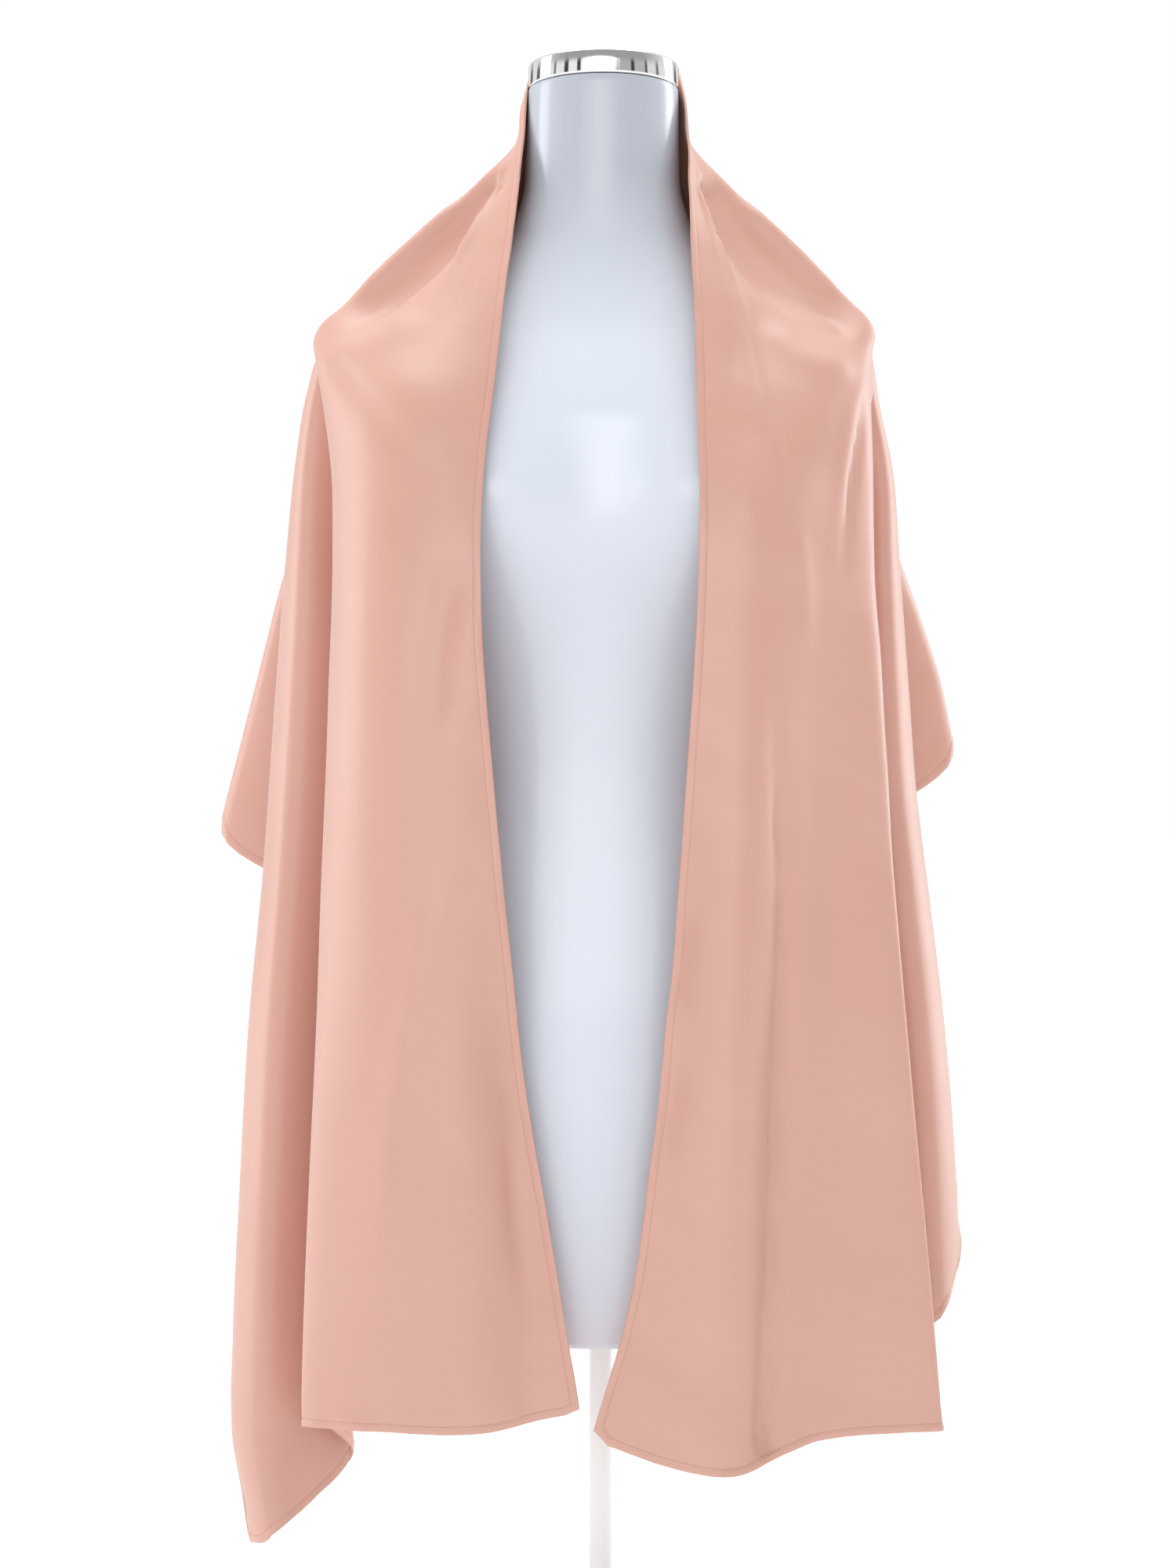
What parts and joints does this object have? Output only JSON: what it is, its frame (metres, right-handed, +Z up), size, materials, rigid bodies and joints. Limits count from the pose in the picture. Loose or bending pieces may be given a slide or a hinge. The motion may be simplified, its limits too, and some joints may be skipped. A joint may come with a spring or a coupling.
{
  "type": "evening stole on a limbless dress form",
  "caption": "Satin evening stole laid round the neck of a limbless dress form, falling from the shoulders in long folds at the front, sides and back, on a plain round stand.",
  "frame": {"origin": "on the floor, under the middle of the round base plate", "axes": "+Z up, the open front of the stole faces -Y, the wearer's left side is +X"},
  "size_m": [0.5372, 0.3178, 1.1034],
  "materials": {
    "satin": "soft satin sheen",
    "form_shell": "gloss",
    "chrome": "polished",
    "stand_paint": "satin white"
  },
  "bodies": {
    "root": {"stole_right_front": "satin", "stole_right_side": "satin", "stole_back": "satin", "stole_left_side": "satin", "stole_left_front": "satin", "dress_form": "form_shell", "neck_cap": "chrome", "form_flange": "stand_paint", "post": "stand_paint", "post_socket": "stand_paint", "base_plate": "stand_paint"}
  },
  "joints": []
}
